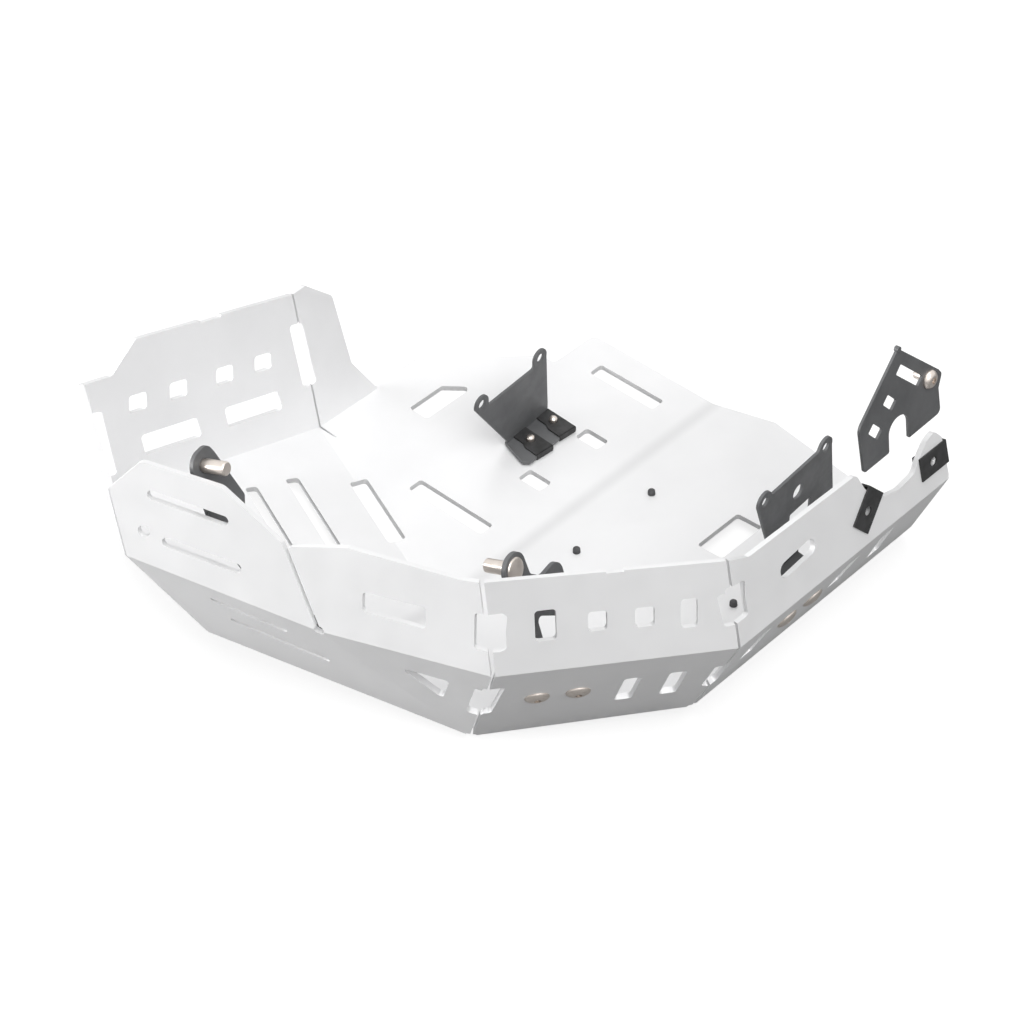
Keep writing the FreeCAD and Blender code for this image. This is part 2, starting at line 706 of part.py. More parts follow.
def clip_nut(label, placement, length, width, held, barrel, bore_at):
    """Folded clip; local zero is the middle of the held edge on its outer face, +X runs inwards."""
    leg = mm("clip_leg")
    outer = block(label + "_outer", shifted(placement, -leg, -mm(width) / 2, -mm(held) - leg),
                  "sizes.%s + sizes.clip_leg" % length, "sizes.%s" % width,
                  "sizes.%s + 2 * sizes.clip_leg" % held)
    inner = block(label + "_inner", shifted(placement, 0, -mm(width), -mm(held)),
                  "sizes.%s + 5" % length, "2 * sizes.%s" % width, "sizes.%s" % held)
    fold = less(label + "_fold", outer, inner)
    if barrel:
        ring = rod(label + "_barrel", shifted(placement, bore_at, 0, leg / 2), "sizes.barrel_diameter",
                   "sizes.barrel_height + sizes.clip_leg / 2")
        fold = fused(label + "_body", [fold, ring])
    bore = rod(label + "_bore", shifted(placement, bore_at, 0, -mm(held) - 5),
               "(sizes.clip_bore + 2 * sizes.thread_gap)", "sizes.%s + 20" % held)
    return less(label, fold, bore)


def drilled(body, placement, name):
    """A screw's clearance hole through a bracket's foot."""
    cut = body.newObject("PartDesign::SubtractiveCylinder", name)
    cut.setExpression("Radius", "sizes.screw_diameter / 2 + sizes.screw_clearance")
    cut.setExpression("Height", "sizes.bracket_thick * 8")
    cut.Placement = shifted(placement, 0, 0, -mm("bracket_thick") * 3)
    return cut


def seat(place, depth=0):
    """A placement on a facet with +Z pointing to the inside of the tub."""
    return frame_at(place.point(0, 0, depth), place.along, place.out * -1)


def upright_outline(ear, level, top, foot):
    """Outline with two round ears at +-ear, level high, on a body with the given foot points."""
    r = mm("ear_radius")
    side = r - 0.1
    points = foot + [(ear + r, level), (ear + r, level + r), (ear - r, level + r), (ear - r, top),
                     (-ear + r, top), (-ear + r, level + r), (-ear - r, level + r), (-ear - r, level - 3)]
    radii = [3] * len(foot) + [2, side, side, 1.5, 1.5, side, side, 4]
    return points, radii


identity = FreeCAD.Placement()

# Side bracket: an upright plate behind the rear wall, with its foot on the rear strip's inner face
upright_at = V(bend_x + mm("side_bracket_x"), mm("side_bracket_y"), 0)
side_ear, side_level = mm("side_ear_reach"), mm("side_ear_level")
web = mm("side_web_half")
side_bracket = new_body("side_bracket", identity)
points, radii = upright_outline(side_ear, side_level, mm("side_web_top"), [
    (-web, side_level - 43), (-web, side_level - 75), (web, side_level - 75), (web, side_level - 63),
    (web + 20, side_level - 45)])
window = [(2, side_level - 57), (22, side_level - 57), (22, side_level - 38), (2, side_level - 38)]
side_bores = [(-side_ear, side_level, "ear_bore"), (side_ear, side_level, "ear_bore"),
              (5.7, side_level - 18, "ear_bore")]
plate(side_bracket, points, radii, "bracket_thick", side_bores,
      frame_at(upright_at - facing * wide, across, facing), "upright", [window])
foot_frame = rear_strip.moved(rear_strip.point(mm("side_foot_start"), 0))


def strip_section(v, depth):
    p = foot_frame.point(0, v, depth)
    return p.x, p.z


web_low = side_level - 73
foot_low_v, foot_high_v = mm("side_foot_low"), mm("side_foot_high")
section = [strip_section(foot_low_v, thick), strip_section(foot_high_v, thick),
           (upright_at.x + 0.5, web_low), (upright_at.x + 0.5, web_low + 4),
           (upright_at.x - 2, web_low + 4), (upright_at.x - 2, web_low - 1),
           strip_section(foot_high_v - 1.4, thick + wide), strip_section(foot_low_v, thick + wide)]
foot_pad = plate(side_bracket, section, 0, "side_foot_width", (),
                 frame_at(V(0, foot_frame.at.y + mm("side_foot_width"), 0), V(1, 0, 0), V(0, -1, 0)), "foot")
for number, place in enumerate(side_screws):
    drilled(side_bracket, seat(place), "hole_%d" % number)
nodes.append(side_bracket)
group("side_screws", [flanged_screw("side_screw_%d" % n, seat(p)) for n, p in enumerate(side_screws)])
group("side_nuts", [hex_nut("side_nut_%d" % n, seat(p, thick + wide)) for n, p in enumerate(side_screws)])

# Centre bracket: an upright plate on the main floor, clipped and screwed down through its base
base_low = thick + mm("clip_leg")
centre_bracket = new_body("centre_bracket", identity)
centre_ear, centre_level = mm("centre_ear_reach"), mm("centre_ear_level")
points, radii = upright_outline(centre_ear, centre_level, mm("centre_web_top"), [
    (-7, centre_level - 34.4), (-6.5, base_low), (44.5, base_low), (44.5, centre_level - 25.4)])
centre_bores = [(-centre_ear, centre_level, "ear_bore"), (centre_ear, centre_level, "ear_bore")]
plate(centre_bracket, points, radii, "bracket_thick", centre_bores,
      frame_at(centre_at - facing * wide - across * mm("centre_ear_shift"), across, facing), "upright")
base_long = mm("centre_base_length")
plate(centre_bracket, [(-wide, -24), (base_long, -24), (base_long, 27.1), (-wide, 27.1)], 1,
      "bracket_thick", (), frame_at(centre_at + V(0, 0, base_low), facing, V(0, 0, 1)), "base")
for number, place in enumerate(centre_screws):
    drilled(centre_bracket, seat(place, base_low), "hole_%d" % number)
nodes.append(centre_bracket)
clip_edge = centre_at + facing * base_long + V(0, 0, base_low + wide)
clip_places = [frame_at(clip_edge + across * w, facing * -1, V(0, 0, 1)) for w in (-10, 16)]
group("centre_clip_nuts", [
    clip_nut("centre_clip_%d" % n, p, "floor_clip_length", "floor_clip_width", "bracket_thick", True,
             base_long - 12.3) for n, p in enumerate(clip_places)])
group("centre_screws", [
    countersunk_screw("centre_screw_%d" % n, seat(p)) for n, p in enumerate(centre_screws)])

# Rim clip nuts: one on the pipe cut-out's edge, one on the rear wall's end
rims = [frame_at(rear_wall.point(*p), rear_wall.along * w[0] + rear_wall.up * w[1], rear_wall.out)
        for p, w in rim_clips]
group("rim_clip_nuts", [
    clip_nut("rim_clip_%d" % n, p, "clip_length", "clip_width", "sheet_thick", False, clip_bore_at)
    for n, p in enumerate(rims)])

# Floor studs on the rear floor
studs = []
for number, (x, y) in enumerate(((33.5, -66.6), (32.3, 12.6), (149.7, -40.7))):
    at = on_rear(x, y) - rear_floor.out * thick
    studs.append(rod("stud_%d" % number, frame_at(at, V(0, 1, 0), rear_floor.out * -1), "sizes.stud_diameter",
                     "sizes.stud_height"))
group("floor_studs", studs)

# Pins and the brackets that hold them


def pin(label, placement):
    """Shouldered pin riveted into its lug; local zero is the face under its head, +Z runs to the tip."""
    head = rod(label + "_head", shifted(placement, 0, 0, -mm("pin_head_height")), "sizes.pin_head_diameter",
               "sizes.pin_head_height")
    neck = rod(label + "_neck", placement, "sizes.pin_neck", "sizes.pin_reach + sizes.bracket_thick")
    shoulder = mm("bracket_thick") + mm("pin_undercut")
    shank = rod(label + "_shank", shifted(placement, 0, 0, shoulder), "sizes.pin_diameter",
                "sizes.pin_reach - sizes.pin_undercut")
    body = fused(label, [head, neck, shank])
    body.Label = label
    nodes.append(body)


corner_lug = near_foot + V(29.2, 9.7, 157.9)


def along_strip(v):
    """Local u at which the corner lug's plane meets the corner strip's foot plate."""
    start = lug_point(corner_lug, 0, v)
    have = (corner_strip.at - start).dot(corner_strip.out)
    return (have - low) / inner_way.dot(corner_strip.out)


corner_bracket = new_body("corner_bracket", identity)
corner_frame = frame_at(corner_lug - axis * wide, inner_way, axis)
plate(corner_bracket, [
    (-lug_r, lug_r), (-lug_r, -14), (along_strip(-52), -52), (along_strip(-88), -88),
    (along_strip(-88) + 24, -88), (43, -52), (43, -21.5), (23, -21.5), (lug_r + 2, -12), (lug_r, lug_r)],
    [lug_r - 0.1, 4, 2, 0, 0, 4, 9, 6, 4, lug_r - 0.1], "bracket_thick", [(0, 0, "pin_bore")],
    corner_frame, "lug")
plate(corner_bracket, [(-77, 46), (-26, 46), (-26, 80), (-77, 80)], 4, "bracket_thick", (),
      frame_at(corner_strip.point(0, 0, thick), corner_strip.along * -1, corner_strip.out * -1), "foot")
for number, place in enumerate(corner_screws):
    drilled(corner_bracket, seat(place), "hole_%d" % number)
nodes.append(corner_bracket)
pin("corner_pin", frame_at(corner_lug, inner_way, axis * -1))
group("corner_screws", [flanged_screw("corner_screw_%d" % n, seat(p)) for n, p in enumerate(corner_screws)])
group("corner_nuts", [
    hex_nut("corner_nut_%d" % n, seat(p, thick + wide)) for n, p in enumerate(corner_screws)])

# Front bracket: a tall lug behind the upper side wall, with its foot on the side floor
front_bracket = new_body("front_bracket", identity)
plate(front_bracket, [
    (-lug_r, lug_r), (-lug_r, -38), (6, -95), (34, foot_low[0]), (56, foot_low[1]), (26, -95), (20, -47),
    (24, -38.5), (lug_r + 1.5, 2), (lug_r - 2, lug_r)],
    [lug_r - 0.1, 8, 8, 0, 0, 8, 3, 3, 8, 7], "bracket_thick", [(0, 0, "pin_bore")],
    frame_at(front_lug - axis * wide, inner_way, axis), "lug")
plate(front_bracket, [(-foot_u - 4, foot_v - 17), (-foot_u + 30, foot_v - 17), (-foot_u + 30, foot_v + 17),
                      (-foot_u - 4, foot_v + 17)], 4, "bracket_thick", (),
      frame_at(side_floor.point(0, 0, thick), side_floor.along * -1, side_floor.out * -1), "foot")
for number, place in enumerate(front_screws):
    drilled(front_bracket, seat(place), "hole_%d" % number)
nodes.append(front_bracket)
pin("front_pin", frame_at(front_lug - axis * wide, inner_way, axis))
group("front_screws", [countersunk_screw("front_screw_%d" % n, seat(p)) for n, p in enumerate(front_screws)])
group("front_nuts", [hex_nut("front_nut_%d" % n, seat(p, thick + wide)) for n, p in enumerate(front_screws)])

# Pipe bracket: stands by itself over the pipe cut-out; it is held by the machine, not by the guard
lean = math.radians(8)
pipe_out = V(math.cos(lean), 0, math.sin(lean))
pipe_at = V(bend_x + 206, 0, 160)
pipe_bracket = new_body("pipe_bracket", identity)


def turned_box(u, v, long_side, short_side, angle):
    a = math.radians(angle)
    box = []
    for x, y in ((-1, -1), (1, -1), (1, 1), (-1, 1)):
        dx, dy = x * long_side / 2, y * short_side / 2
        box.append((u + dx * math.cos(a) - dy * math.sin(a), v + dx * math.sin(a) + dy * math.cos(a)))
    return box


plate(pipe_bracket, [
    (8, -23), (33, -23), (33, -1), (54, -1), (54, -23), (88, -22), (86.5, -2), (89, 9.5),
    (43.5, 52.5), (6, 11)],
    [3, 1, 10.4, 10.4, 1, 4, 4, 4, 4, 5], "bracket_thick", [(76, 9.5, "pipe_bore")],
    frame_at(pipe_at - pipe_out * wide, V(0, 1, 0), pipe_out), "plate",
    [turned_box(35, 15.4, 10.5, 10.5, 46), turned_box(19, 1.7, 10.5, 10.5, 46),
     turned_box(55.5, 25, 30, 8.4, -43)])
nodes.append(pipe_bracket)
pipe_hole = pipe_at + V(0, 1, 0) * 76 + V(-math.sin(lean), 0, math.cos(lean)) * 9.5
pipe_place = frame_at(pipe_hole, V(0, 1, 0), pipe_out * -1)
pipe_head = doc.addObject("Part::Cone", "pipe_screw_head")
pipe_head.setExpression("Radius1", "sizes.pipe_head_diameter * 0.34")
pipe_head.setExpression("Radius2", "sizes.pipe_head_diameter / 2")
pipe_head.setExpression("Height", "sizes.pipe_head_height")
pipe_head.Placement = shifted(pipe_place, 0, 0, -mm("pipe_head_height"))
pipe_shank = rod("pipe_screw_shank", pipe_place, "sizes.screw_diameter", "sizes.pipe_screw_length")
pipe_body = fused("pipe_screw_body", [pipe_head, pipe_shank])
pipe_socket = prism("pipe_screw_socket", shifted(pipe_place, 0, 0, -mm("pipe_head_height")), 6,
                    "socket_across", "socket_depth")
pipe_screw = less("pipe_screw", pipe_body, pipe_socket)
pipe_screw.Label = "pipe_screw"
nodes.append(pipe_screw)

doc.recompute()
for item in nodes:
    shape = item.Shape
    if "Invalid" in item.State or "Error" in item.State or shape.isNull() or not shape.isValid():
        raise RuntimeError("%s did not build: %s" % (item.Label, item.State))
    shape.exportStep("parts/%s.step" % item.Label)
    print(item.Label, len(shape.Solids), [round(c) for c in (shape.BoundBox.XMin, shape.BoundBox.XMax,
          shape.BoundBox.YMin, shape.BoundBox.YMax, shape.BoundBox.ZMin, shape.BoundBox.ZMax)])
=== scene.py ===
import bpy
import bmesh
import math
from mathutils import Matrix, Vector


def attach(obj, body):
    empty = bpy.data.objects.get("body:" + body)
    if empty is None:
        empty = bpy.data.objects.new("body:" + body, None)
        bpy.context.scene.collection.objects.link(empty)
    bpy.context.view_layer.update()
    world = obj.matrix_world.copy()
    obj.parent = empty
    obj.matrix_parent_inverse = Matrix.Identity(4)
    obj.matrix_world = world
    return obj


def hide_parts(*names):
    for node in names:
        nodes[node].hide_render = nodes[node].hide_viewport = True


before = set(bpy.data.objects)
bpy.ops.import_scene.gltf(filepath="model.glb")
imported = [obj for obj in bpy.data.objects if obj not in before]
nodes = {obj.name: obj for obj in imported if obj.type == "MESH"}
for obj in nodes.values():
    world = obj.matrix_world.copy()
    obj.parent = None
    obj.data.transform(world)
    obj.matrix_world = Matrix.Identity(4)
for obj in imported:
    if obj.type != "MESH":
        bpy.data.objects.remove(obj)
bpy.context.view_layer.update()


# Guard sheet: the tub is one blank of 4 mm aluminium, laser cut and folded on a press brake.
# Its cut edges are tumbled soft, and the whole blank is bead blasted and clear anodised.
# A soft grey band along the shallow fold between the main floor and the rear floor is painted shade: the
# crease's shading is put into the sheet's colour.
def welded(mesh):
    """A mesh opened for editing, with the vertices that lie on one another joined."""
    weld_gap = 0.00001
    bm = bmesh.new()
    bm.from_mesh(mesh)
    bmesh.ops.remove_doubles(bm, verts=bm.verts, dist=weld_gap)
    return bm


def fitted(mesh, piece_name, node, width=0, segments=2, angle=25):
    """Put a mesh in the scene as the piece that stands for a node; with a width its sharp edges are eased by a
    bevel, without one they are only kept sharp in the shading.
    """
    flat, sharp, face_weight = math.radians(1), math.radians(35), 80
    bm = welded(mesh)
    bmesh.ops.dissolve_limit(bm, angle_limit=flat, verts=bm.verts, edges=bm.edges)
    bmesh.ops.recalc_face_normals(bm, faces=bm.faces)
    bm.to_mesh(mesh)
    bm.free()
    for poly in mesh.polygons:
        poly.use_smooth = True
    piece = bpy.data.objects.new(piece_name, mesh)
    bpy.context.scene.collection.objects.link(piece)
    if width:
        ease = piece.modifiers.new("eased_edges", "BEVEL")
        ease.width = width
        ease.segments = segments
        ease.limit_method = "ANGLE"
        ease.angle_limit = math.radians(angle)
        ease.use_clamp_overlap = True
        smooth = piece.modifiers.new("face_weights", "WEIGHTED_NORMAL")
        smooth.keep_sharp = False
        smooth.weight = face_weight
    else:
        mesh.set_sharp_from_angle(angle=sharp)
    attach(piece, "root")
    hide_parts(node)
    return piece


def dressed(piece, material):
    """Give a piece its one material."""
    piece.data.materials.clear()
    piece.data.materials.append(material)


def new_finish(name):
    """An empty node material with its shader, for one real finish."""
    finish = bpy.data.materials.new(name)
    finish.use_nodes = True
    return finish, finish.node_tree, finish.node_tree.nodes["Principled BSDF"]


def grain(tree, scale, detail):
    """Noise in the object's own metres, so that the grain keeps its real size."""
    place = tree.nodes.new("ShaderNodeTexCoord")
    noise = tree.nodes.new("ShaderNodeTexNoise")
    noise.inputs["Scale"].default_value = scale
    noise.inputs["Detail"].default_value = detail
    noise.inputs["Roughness"].default_value = 0.55
    tree.links.new(place.outputs["Object"], noise.inputs["Vector"])
    return noise.outputs["Fac"]


def grey(level):
    """One level as a colour."""
    return (level, level, level)


def mottled(tree, socket, low, high, scale, detail):
    """Drive a shader's socket between two close colours or levels by a grain."""
    ramp = tree.nodes.new("ShaderNodeValToRGB")
    for stop, position, colour in zip(ramp.color_ramp.elements, (0.35, 0.65), (low, high)):
        stop.position = position
        stop.color = (*colour, 1)
    tree.links.new(grain(tree, scale, detail), ramp.inputs["Fac"])
    tree.links.new(ramp.outputs["Color"], socket)


def pitted(tree, shader, scale, detail, strength, depth):
    """Fine bumps of a grain on the surface."""
    bump = tree.nodes.new("ShaderNodeBump")
    bump.inputs["Strength"].default_value = strength
    bump.inputs["Distance"].default_value = depth
    tree.links.new(grain(tree, scale, detail), bump.inputs["Height"])
    tree.links.new(bump.outputs["Normal"], shader.inputs["Normal"])


def worked(tree, operation, *terms):
    """The output of a maths node on sockets or plain numbers."""
    node = tree.nodes.new("ShaderNodeMath")
    node.operation = operation
    for socket, term in zip(node.inputs, terms):
        if isinstance(term, float):
            socket.default_value = term
        else:
            tree.links.new(term, socket)
    return node.outputs["Value"]


def ranged(tree, value, start, end, low, high, blend="LINEAR"):
    """The output of a node that carries a value from one range to another."""
    node = tree.nodes.new("ShaderNodeMapRange")
    node.interpolation_type = blend
    for name, number in (("From Min", start), ("From Max", end), ("To Min", low), ("To Max", high)):
        node.inputs[name].default_value = number
    tree.links.new(value, node.inputs["Value"])
    return node.outputs["Result"]


# The third colour below, with the reach and depth on the next line, sets the painted shade along the floor's
# shallow fold.
sheet_deep, sheet_pale, crease_shade_grey = (0.80, 0.80, 0.805), (0.845, 0.845, 0.85), (0.42, 0.42, 0.425)
fold_x, crease_shade_reach, crease_shade_strength = 0.0965, 0.009, 0.22
floor_top, wall_start = 0.010, 0.014
blasted, tree, shader = new_finish("blasted_aluminium")
shader.inputs["Metallic"].default_value = 0.25
place = tree.nodes.new("ShaderNodeTexCoord")
axes = tree.nodes.new("ShaderNodeSeparateXYZ")
tree.links.new(place.outputs["Object"], axes.inputs["Vector"])
# Painted shade: the sheet's colour is mixed towards grey in a soft band about the fold at fold_x, on the floor
# only.
from_fold = worked(tree, "ABSOLUTE", worked(tree, "SUBTRACT", axes.outputs["X"], fold_x))
painted_crease_shade = ranged(tree, from_fold, 0.0, crease_shade_reach, crease_shade_strength, 0.0, "SMOOTHSTEP")
on_floor = ranged(tree, axes.outputs["Z"], floor_top, wall_start, 1.0, 0.0)
folded = tree.nodes.new("ShaderNodeMixRGB")
folded.inputs["Color2"].default_value = (*crease_shade_grey, 1)
tree.links.new(worked(tree, "MULTIPLY", painted_crease_shade, on_floor), folded.inputs["Fac"])
mottled(tree, folded.inputs["Color1"], sheet_deep, sheet_pale, scale=9, detail=4)
tree.links.new(folded.outputs["Color"], shader.inputs["Base Color"])
mottled(tree, shader.inputs["Roughness"], grey(0.46), grey(0.56), scale=60, detail=3)
pitted(tree, shader, scale=2600, detail=2, strength=0.12, depth=0.0001)
tub_mesh = nodes["guard_sheet"].data.copy()
dressed(fitted(tub_mesh, "folded_tub", "guard_sheet", width=0.0009, angle=12), blasted)


# Side bracket: laser-cut steel plate with two round ears for the machine's bolts, a third bore and a window.
# Its foot is folded to lie on the rear strip, and the whole is powder coated in a dark satin grey.
coat_deep, coat_pale = (0.085, 0.087, 0.09), (0.115, 0.117, 0.12)
coat, tree, shader = new_finish("dark_powder_coat")
mottled(tree, shader.inputs["Base Color"], coat_deep, coat_pale, scale=35, detail=4)
mottled(tree, shader.inputs["Roughness"], grey(0.42), grey(0.54), scale=120, detail=3)
pitted(tree, shader, scale=900, detail=2, strength=0.2, depth=0.00012)


def seated(at, along, out):
    """A frame in mm on a piece: local X runs along, local Z points out, and zero is at a point in metres."""
    z = Vector(out).normalized()
    y = z.cross(Vector(along)).normalized()
    x = y.cross(z)
    turn = Matrix((x, y, z)).transposed().to_4x4()
    return Matrix.Translation(Vector(at)) @ turn @ Matrix.Scale(0.001, 4)


def bore(x, y, diameter, sides=40):
    """The round outline of a drilled hole."""
    steps = [2 * math.pi * k / sides for k in range(sides)]
    return [(x + diameter / 2 * math.cos(a), y + diameter / 2 * math.sin(a)) for a in steps]


def eased_outline(corners):
    """A closed outline from (x, y, radius) corners, each rounded by its own radius."""
    nearly_straight, arc_step = 1.5, 0.18
    line = []
    for k, (x, y, radius) in enumerate(corners):
        here = Vector((x, y))
        before = (Vector(corners[k - 1][:2]) - here).normalized()
        after = (Vector(corners[(k + 1) % len(corners)][:2]) - here).normalized()
        half = before.angle(after) / 2
        if radius <= 0 or half > nearly_straight:
            line.append((x, y))
            continue
        middle = here + (before + after).normalized() * (radius / math.sin(half))
        first = here + before * (radius / math.tan(half)) - middle
        last = here + after * (radius / math.tan(half)) - middle
        sweep = first.angle_signed(last)
        steps = max(3, int(abs(sweep) / arc_step))
        for n in range(steps + 1):
            turn = -sweep * n / steps
            line.append((middle.x + first.x * math.cos(turn) - first.y * math.sin(turn),
                         middle.y + first.x * math.sin(turn) + first.y * math.cos(turn)))
    return line


def cut_plate(bm, outlines, place, thick):
    """Add a plate to a mesh: its outlines are filled round the holes and carried down by the thickness."""
    edges = []
    for outline in outlines:
        ring = [bm.verts.new(place @ Vector((x, y, 0))) for x, y in outline]
        edges += [bm.edges.new((ring[k - 1], ring[k])) for k in range(len(ring))]
    filled = bmesh.ops.triangle_fill(bm, use_beauty=True, use_dissolve=False, edges=edges)
    face = [g for g in filled["geom"] if isinstance(g, bmesh.types.BMFace)]
    back = bmesh.ops.extrude_face_region(bm, geom=face)
    sunk = place.to_3x3() @ Vector((0, 0, -thick))
    bmesh.ops.translate(bm, verts=[g for g in back["geom"] if isinstance(g, bmesh.types.BMVert)], vec=sunk)


def cropped(bm, at, way):
    """Take away what lies beyond a plane and close the cut."""
    whole = list(bm.verts) + list(bm.edges) + list(bm.faces)
    cut = bmesh.ops.bisect_plane(bm, geom=whole, plane_co=at, plane_no=way, clear_outer=True)
    rim = [g for g in cut["geom_cut"] if isinstance(g, bmesh.types.BMEdge)]
    bmesh.ops.holes_fill(bm, edges=rim, sides=0)


def eared(foot, ear, level, radius, top, last):
    """Corners of an upright on its foot corners, with an ear at +ear and -ear, whose arc ends above the web."""
    start, count, fillet = -15, 24, 2.2
    arc = []
    for k in range(count + 1):
        a = math.radians(start + (last - start) * k / count)
        arc.append((ear + radius * math.cos(a), level + radius * math.sin(a)))
    drop = math.radians(last)
    run = (arc[-1][1] - top) / -math.cos(drop)
    right = [(x, y, 0) for x, y in arc] + [(arc[-1][0] - run * math.sin(drop), top, fillet)]
    return foot + right + [(-x, y, r) for x, y, r in reversed(right)]


def made(bm, name):
    """The edited mesh, under a name of its own."""
    mesh = bpy.data.meshes.new(name)
    bm.to_mesh(mesh)
    bm.free()
    return mesh


plate_thick, plate_ease, bolt_bore, ear_radius = 2.0, 0.0004, 6.8, 7.2
upright_way, upright_out = (-0.06976, 0.99756, 0), (0.99756, 0.06976, 0)
side_place = seated((0.2935, -0.0494, 0), upright_way, upright_out)
side_ear, side_level, side_web, foot_top, foot_end = 32.8, 165, 165.8, 98.5, 10.5
bm = welded(nodes["side_bracket"].data)
cropped(bm, (0, 0, foot_top / 1000), (0, 0, 1))
cropped(bm, side_place @ Vector((foot_end, 0, 0)), upright_way)
side_foot = [(-25, 122, 3), (-25, 92, 0), (10, 92, 0), (10, 96.5, 1), (25, 96.5, 0), (25, 102, 3), (46, 121, 3)]
side_outline = eased_outline(eared(side_foot, side_ear, side_level, ear_radius, side_web, last=150))
side_window = eased_outline([(-3, 104, 1.2), (20.5, 104, 1.2), (20.5, 132.7, 1.2), (-3, 132.7, 1.2)])
third_bore = bore(4.2, 147.6, 10.4)
side_bores = [bore(-side_ear, side_level, bolt_bore), bore(side_ear, side_level, bolt_bore), third_bore]
cut_plate(bm, [side_outline, side_window] + side_bores, side_place, plate_thick)
side_mesh = made(bm, "side_bracket_coated")
dressed(fitted(side_mesh, "side_bracket_coated", "side_bracket", plate_ease), coat)


# Centre bracket: a folded plate of the same coated steel, with two ears on an upright that slants on one side.
# Its base lies on the main floor, held by two clip nuts and their screws.
centre_ear, centre_level, centre_arc, centre_web = 32.3, 61.4, 61.3, 56.3
base_thick, screw_bore = 2.4, 6.6
bm = bmesh.new()
centre_foot = [(-5, 9, 2), (-5, 5.4, 0), (41.2, 5.4, 0), (41.2, 14, 2)]
centre_outline = eased_outline(eared(centre_foot, centre_ear, centre_arc, ear_radius, centre_web, last=180))
centre_bores = [bore(-centre_ear, centre_level, bolt_bore), bore(centre_ear, centre_level, bolt_bore)]
centre_place = seated((0.01916, -0.01227, 0), upright_way, upright_out)
cut_plate(bm, [centre_outline] + centre_bores, centre_place, plate_thick)
base_corners = [(-1, -22.5, 0), (22, -31.5, 3), (26.5, -28, 2), (26.5, 19, 2), (-1, 23.8, 0)]
centre_base = seated((0.0167, 0.005, 0.0076), upright_out, (0, 0, 1))
base_holes = ((12.3, -10), (12.3, 16))
base_bores = [bore(x, y, screw_bore) for x, y in base_holes]
cut_plate(bm, [eased_outline(base_corners)] + base_bores, centre_base, base_thick)
centre_mesh = made(bm, "centre_bracket_coated")
dressed(fitted(centre_mesh, "centre_bracket_coated", "centre_bracket", plate_ease), coat)


# Corner and front brackets: flat lugs that stand square to one pin axis, each welded to a foot plate.
# They are cut from the same steel, with the edges broken before coating. The corner lug's plate is
# pierced by an opening, seen through the first window of the wall.
pin_axis = Vector((0.94036, 0.20008, 0.27511))
pin_side = (-0.20811, 0.97811, 0)
corner_lug = Vector((0.2242, -0.23041, 0.16479))
lug_ease, tool_start, tool_length = 0.0006, 0.003, 9
blank = bpy.data.objects.new("corner_blank", made(welded(nodes["corner_bracket"].data), "corner_blank"))
bm = bmesh.new()
corner_opening = eased_outline([(6.9, -40.2, 3), (6.9, -68, 2), (22, -68, 2), (30, -57.5, 1.5)])
cut_plate(bm, [corner_opening], seated(corner_lug + pin_axis * tool_start, pin_side, pin_axis), tool_length)
bmesh.ops.recalc_face_normals(bm, faces=bm.faces)
tool = bpy.data.objects.new("opening_tool", made(bm, "opening_tool"))
bpy.context.scene.collection.objects.link(blank)
bpy.context.scene.collection.objects.link(tool)
pierce = blank.modifiers.new("pierce", "BOOLEAN")
pierce.operation = "DIFFERENCE"
pierce.object = tool
bpy.context.view_layer.update()
corner_mesh = bpy.data.meshes.new_from_object(blank.evaluated_get(bpy.context.evaluated_depsgraph_get()))
bpy.data.objects.remove(blank)
bpy.data.objects.remove(tool)
dressed(fitted(corner_mesh, "corner_bracket_coated", "corner_bracket", lug_ease), coat)
front_mesh = nodes["front_bracket"].data.copy()
dressed(fitted(front_mesh, "front_bracket_coated", "front_bracket", lug_ease), coat)


# Pipe bracket: a flat coated plate with an arched gap for the pipe, two square holes and a window.
# Its upper corner is curled over into a small lip, and one button-head screw holds it to the machine.
def square_hole(x, y, wide, high, angle):
    """A turned square or oblong hole with small corner radii."""
    corner_radius = 1.2
    a = math.radians(angle)
    corners = []
    for sx, sy in ((-1, -1), (1, -1), (1, 1), (-1, 1)):
        dx, dy = sx * wide / 2, sy * high / 2
        corners.append((x + dx * math.cos(a) - dy * math.sin(a), y + dx * math.sin(a) + dy * math.cos(a),
                        corner_radius))
    return eased_outline(corners)


pipe_way, pipe_out = (0, 1, 0), (0.99027, 0, 0.13917)
pipe_seat = seated((0.3025, 0, 0.16), pipe_way, pipe_out)
lip_size, lip_stand, hole_high, hole_tilt, window_tilt = 4, 0.6, 7.4, -48, -44.5
bm = bmesh.new()
pipe_corners = [(7, -24, 2.5), (33.3, -23.5, 1.5), (33.3, -1, 9.6), (53.2, -1, 9.6), (53.5, -24, 1.5),
                (87.6, -23, 4), (86, -3, 2), (89.8, 6.5, 3.5), (86.5, 11, 2), (45.5, 50, 3), (3.6, 11.5, 8)]
pipe_holes = [bore(76, 9.5, screw_bore), square_hole(35.3, 14.6, 12.6, hole_high, hole_tilt),
              square_hole(19.8, 1.2, 13, hole_high, hole_tilt),
              square_hole(56, 23.7, 31, hole_high, window_tilt)]
cut_plate(bm, [eased_outline(pipe_corners)] + pipe_holes, pipe_seat, plate_thick)
lip_seat = pipe_seat @ Matrix.Translation((0, 0, lip_stand))
cut_plate(bm, [bore(45.9, 49.2, lip_size, sides=16)], lip_seat, plate_thick + 2 * lip_stand)
pipe_mesh = made(bm, "pipe_bracket_coated")
dressed(fitted(pipe_mesh, "pipe_bracket_coated", "pipe_bracket", plate_ease), coat)


